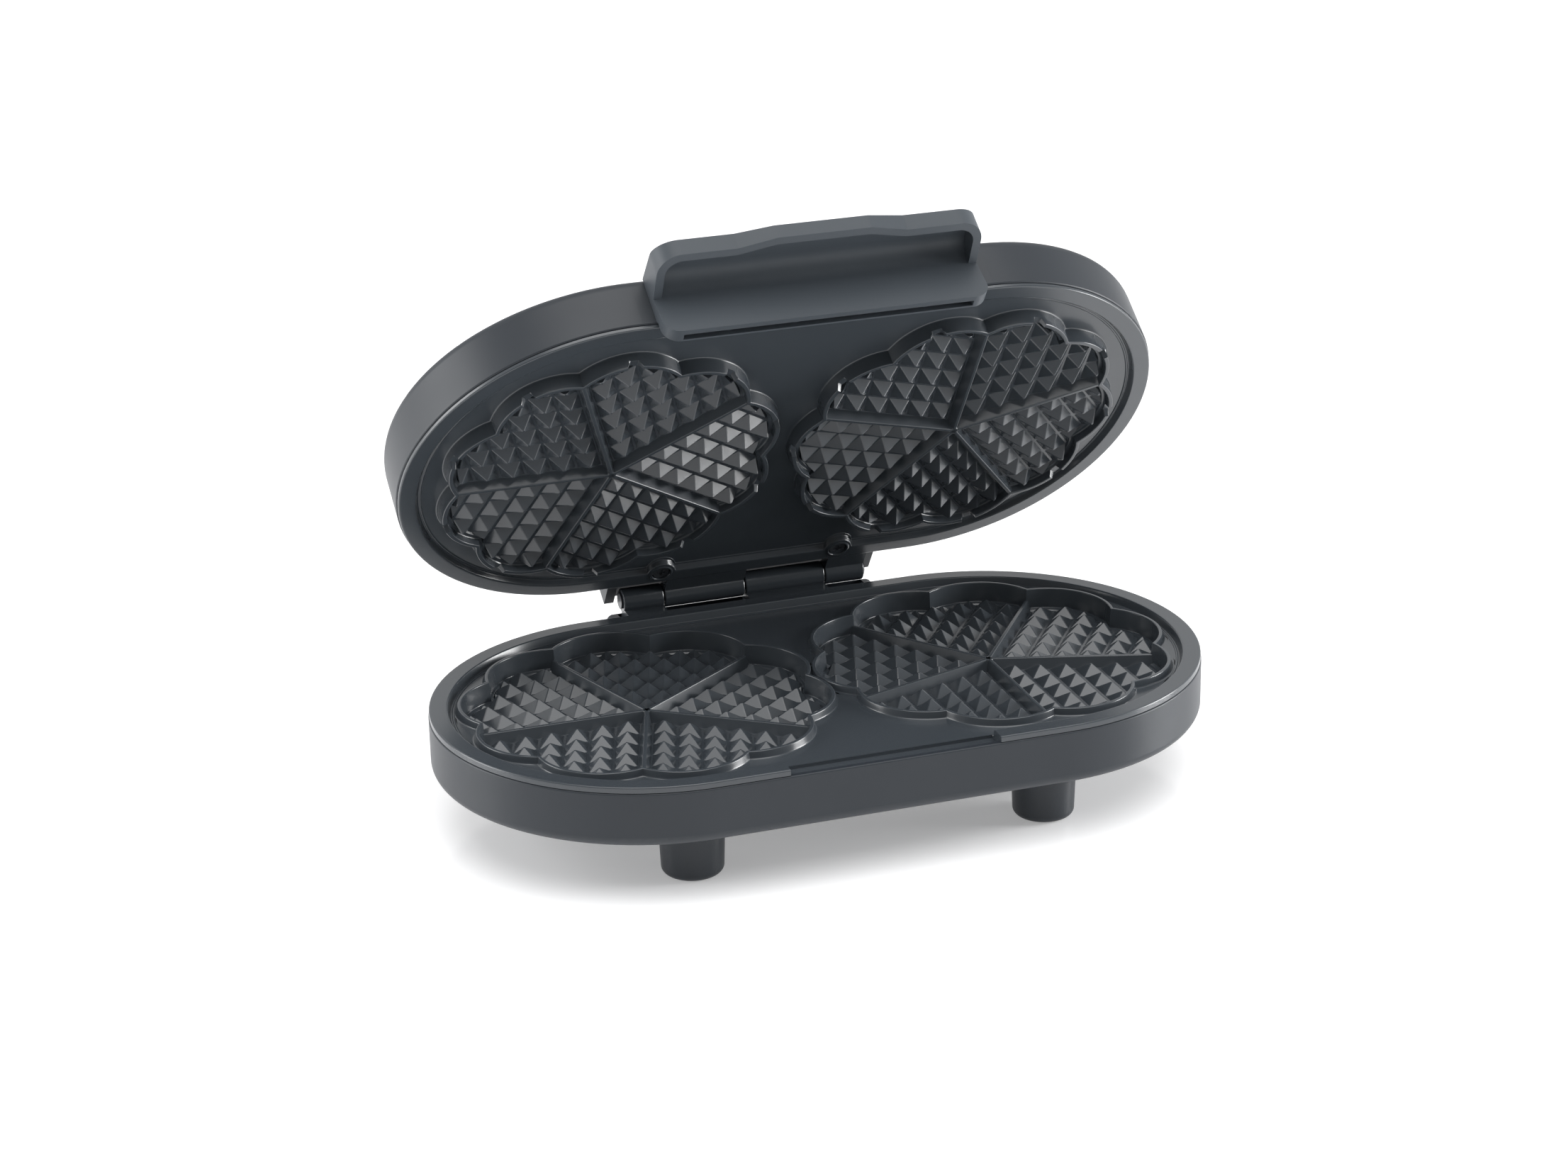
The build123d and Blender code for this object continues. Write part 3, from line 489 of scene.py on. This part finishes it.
def surface(name, colour, other, roughness, spread, grain, height, patch=25.0, **fixed):
    """A moulded, cast or coated surface: a fine grain of the given size and height in millimetres, a colour
    that drifts between two close shades in patches, and a roughness that drifts with it."""
    material, tree, at = new_material(name)
    fine = add(tree, "ShaderNodeTexNoise", {"Vector": at, "Scale": per_mm(grain), "Detail": 3.0})
    broad = add(tree, "ShaderNodeTexNoise", {"Vector": at, "Scale": per_mm(patch), "Detail": 2.0})
    shade = add(tree, "ShaderNodeValToRGB", {"Fac": broad.outputs["Fac"]})
    shade.color_ramp.elements[0].color = linear(colour)
    shade.color_ramp.elements[1].color = linear(other)
    rough = add(tree, "ShaderNodeMapRange", {"Value": broad.outputs["Fac"], "To Min": roughness - spread,
                                             "To Max": roughness + spread})
    bump = add(tree, "ShaderNodeBump", {"Height": fine.outputs["Fac"], "Strength": 1.0,
                                        "Distance": height * MM})
    shader = add(tree, "ShaderNodeBsdfPrincipled", {"Base Color": shade.outputs["Color"],
                                                    "Roughness": rough.outputs["Result"],
                                                    "Normal": bump.outputs["Normal"], **fixed})
    add(tree, "ShaderNodeOutputMaterial", {"Surface": shader.outputs["BSDF"]})
    return material


# ABS with a spark-eroded mould texture, for both housings and the feet: an even, matt slate with a very
# fine grain
housing_abs = surface("ABS_spark_textured_slate", "#2a2f35", "#272c32", 0.42, 0.03, 0.55, 0.012, IOR=1.45)
# glass-filled nylon of the handle, a little drier than the housings; its colour is the housings' slate painted
# lighter, painted light standing for the light the handle catches
handle_slate_painted_lighter = surface("slate_painted_lighter_for_handle", "#454b51", "#42484e", 0.48, 0.03, 0.6, 0.016, IOR=1.45)
# die-cast aluminium under a sprayed PTFE coat: dark grey, satin, with the soft orange peel of a spray
nonstick = surface("PTFE_coat_on_cast_aluminium", "#3a3f44", "#3d4247", 0.23, 0.03, 2.2, 0.004, IOR=1.6)
# zinc-plated mild steel: bright, slightly grey, with fine turning and handling marks
zinc_steel = surface("zinc_plated_steel", "#b9bcbf", "#a8abaf", 0.32, 0.06, 0.4, 0.004, Metallic=1.0)
# the coated pin and plate screws: black phosphate over steel
black_steel = surface("black_phosphated_steel", "#3f4246", "#383b3f", 0.34, 0.05, 0.4, 0.004, IOR=1.5)
# rolled aluminium of the heat reflectors and the fuse's can: bright, with a faint waviness
bright_sheet = surface("rolled_aluminium_sheet", "#d6d8da", "#c9cbce", 0.22, 0.05, 8.0, 0.010, Metallic=1.0)
# stainless sheath of the heating elements: browned by heat in patches
sheath = surface("heat_tinted_stainless", "#8d8172", "#6a6a70", 0.36, 0.06, 0.5, 0.004, patch=12.0,
                 Metallic=1.0)
# soft black rubber pads: dead matt with a grainy bloom
pad_rubber = surface("silicone_rubber_black", "#17181a", "#1c1d1f", 0.72, 0.05, 0.5, 0.012, IOR=1.42)
# moulded rubber of the cord gland: a little smoother and less dark than the pads
gland_rubber = surface("moulded_rubber_black", "#1b1c1e", "#212225", 0.62, 0.05, 0.5, 0.010, IOR=1.45)
# cream urea moulding of the terminal block: waxy and smooth
insulator = surface("cream_urea_moulding", "#d3ccb4", "#c9c1a8", 0.42, 0.04, 0.6, 0.005, IOR=1.5)
# silicone-varnished glass braid over the leads
lead_sleeve = surface("varnished_glass_braid", "#d8d4c6", "#b9b4a4", 0.60, 0.05, 0.5, 0.060, patch=1.2,
                      IOR=1.5)
# turned brass of the terminal screws: warm and bright, dulled in patches by handling
brass = surface("turned_brass", "#c8a45c", "#b8934e", 0.28, 0.05, 0.4, 0.004, Metallic=1.0)
# satin black nylon of the temperature knob: a soft sheen that shows its grip ribs
knob_satin = surface("satin_black_nylon", "#1b1d1f", "#202224", 0.36, 0.03, 0.5, 0.006, IOR=1.5)


def lens(name, colour):
    """Tinted polycarbonate or glass, moulded glossy: it shows a sharp highlight over a deep colour."""
    return surface(name, colour, colour, 0.08, 0.01, 2.0, 0.001, IOR=1.58,
                   **{"Transmission Weight": 0.35, "Coat Weight": 0.5})


red_lens = lens("red_polycarbonate", "#b0180f")
green_lens = lens("green_polycarbonate", "#1f9a3a")
lamp_glass = lens("neon_lamp_glass", "#c9b59a")

FINISH = {
    "housing": housing_abs, "nonstick": nonstick, "steel": zinc_steel, "bright_sheet": bright_sheet,
    "sheath": sheath, "pad_rubber": pad_rubber, "gland_rubber": gland_rubber, "insulator": insulator,
    "lead_sleeve": lead_sleeve, "brass": brass, "knob": knob_satin, "red_lens": red_lens,
    "green_lens": green_lens, "lamp_glass": lamp_glass,
}


# ---- build the pieces ----------------------------------------------------------------------------
lower_arm, upper_arm = (-6.2, -0.6), (1.1, 6.3)     # lowest and highest Z of the knuckles' arms
lower_knuckles = join(knuckle(-56.75, -38.25, *lower_arm), knuckle(0.25, 37.75, *lower_arm))
upper_knuckles = join(knuckle(-37.75, -0.25, *upper_arm), knuckle(38.25, 56.75, *upper_arm))
lower = join(plate_shell(LOWER), lower_knuckles)
upper = join(plate_shell(UPPER), upper_knuckles)
piece("lower_baking_plate", lower, "base", nonstick, ["lower_plate"])
piece("upper_baking_plate", upper, "lid", nonstick, ["upper_plate"])
for kind, where, body in ((LOWER, "lower", "base"), (UPPER, "upper", "lid")):
    fields, bars = hearts(kind)
    for side, x, turn in MOULDS:
        mould = f"{where}_{side}_heart"
        piece(f"{mould}_pyramids", turned(fields, turn, x), body, nonstick, sharp=12.0)
        piece(f"{mould}_ridges", turned(bars, turn, x), body, nonstick)

# every CAD piece still on show takes the finish of its slot in the record, except three with their own
slot_of = {part["node"]: part["material_slot"] for part in frame["record"]["subparts"]}
for name, node in frame["nodes"].items():
    finish = FINISH[slot_of[name]]
    # the handle takes a lighter copy of the housings' slate: painted light for the light that falls on it
    if name == "lid_handle":
        finish = handle_slate_painted_lighter
    if name in ("plate_screws", "hinge_pin"):
        finish = black_steel
    node.data.materials.clear()
    node.data.materials.append(finish)


# ---- floor, lights, camera -----------------------------------------------------------------------
def floor():
    """A level sheet of white acrylic under the feet, lit a little from below, out past the view."""
    half = 6.0
    corners = [(-half, -half, 0), (half, -half, 0), (half, half, 0), (-half, half, 0)]
    mesh = bpy.data.meshes.new("studio_floor")
    mesh.from_pydata(corners, [], [(0, 1, 2, 3)])
    made = bpy.data.objects.new("studio_floor", mesh)
    bpy.context.scene.collection.objects.link(made)
    material, tree, at = new_material("white_acrylic_sheet")
    noise = add(tree, "ShaderNodeTexNoise", {"Vector": at, "Scale": 2.0})
    rough = add(tree, "ShaderNodeMapRange", {"Value": noise.outputs["Fac"], "To Min": 0.10, "To Max": 0.14})
    shader = add(tree, "ShaderNodeBsdfPrincipled", {"Base Color": linear("#f4f4f5"),
                                                    "Roughness": rough.outputs["Result"],
                                                    "Emission Color": (1, 1, 1, 1),
                                                    "Emission Strength": 0.28})
    add(tree, "ShaderNodeOutputMaterial", {"Surface": shader.outputs["BSDF"]})
    mesh.materials.append(material)


def softbox(name, at, towards, width, height, power):
    """A rectangular soft light that faces a point; sizes in metres, power in watts."""
    data = bpy.data.lights.new(name, "AREA")
    data.shape = "RECTANGLE"
    data.size, data.size_y, data.energy = width, height, power
    light = bpy.data.objects.new(name, data)
    bpy.context.scene.collection.objects.link(light)
    light.location = at
    light.rotation_euler = (Vector(towards) - Vector(at)).to_track_quat("-Z", "Y").to_euler()


def studio():
    """White walls behind and beside the object, a dark room in front of it, one broad soft light above and
    a softbox at either side.  The camera itself sees white in every direction."""
    world = bpy.data.worlds.new("studio")
    bpy.context.scene.world = world
    world.use_nodes = True
    tree = world.node_tree
    tree.nodes.clear()
    seen = add(tree, "ShaderNodeLightPath").outputs["Is Camera Ray"]
    towards = add(tree, "ShaderNodeTexCoord").outputs["Generated"]
    depth = add(tree, "ShaderNodeSeparateXYZ", {"Vector": towards}).outputs["Y"]
    wall = add(tree, "ShaderNodeMapRange", {"Value": depth, "From Min": -0.35, "From Max": 0.25,
                                            "To Min": 0.15, "To Max": 0.75}).outputs["Result"]
    level = add(tree, "ShaderNodeMapRange", {"Value": seen, "To Min": wall, "To Max": 1.0})
    white = {"Color": (1, 1, 1, 1), "Strength": level.outputs["Result"]}
    background = add(tree, "ShaderNodeBackground", white)
    add(tree, "ShaderNodeOutputWorld", {"Surface": background.outputs["Background"]})
    sun = bpy.data.lights.new("overhead", "SUN")
    sun.energy, sun.angle = 2.3, math.radians(60)
    light = bpy.data.objects.new("overhead", sun)
    bpy.context.scene.collection.objects.link(light)
    light.rotation_euler = (math.radians(15), 0, 0)
    softbox("left_softbox", (-1.5, 0.5, 0.5), (0, 0, 0.1), 0.9, 1.1, 15)
    softbox("right_softbox", (1.4, -0.35, 0.35), (0, 0, 0.15), 0.6, 0.6, 20)


def camera():
    """The studio camera: three quarters from the front left, a little above, rolled by about a degree."""
    azimuth, elevation, roll, distance = -0.323989, 0.367792, -0.0207094, 1.49005
    target = Vector((-0.011333, -0.003060, 0.088168))
    back = Vector((math.sin(azimuth) * math.cos(elevation), -math.cos(azimuth) * math.cos(elevation),
                   math.sin(elevation)))
    across = Vector((0, 0, 1)).cross(back).normalized()
    up = back.cross(across)
    side = math.cos(roll) * across + math.sin(roll) * up
    top = -math.sin(roll) * across + math.cos(roll) * up
    data = bpy.data.cameras.new("studio_camera")
    data.sensor_width, data.lens = 36.0, 80.85
    made = bpy.data.objects.new("studio_camera", data)
    bpy.context.scene.collection.objects.link(made)
    at = target + back * distance
    made.matrix_world = Matrix(((side.x, top.x, back.x, at.x), (side.y, top.y, back.y, at.y),
                                (side.z, top.z, back.z, at.z), (0, 0, 0, 1)))
    bpy.context.scene.camera = made


camera()
floor()
studio()
bpy.context.scene.view_settings.view_transform = "Standard"
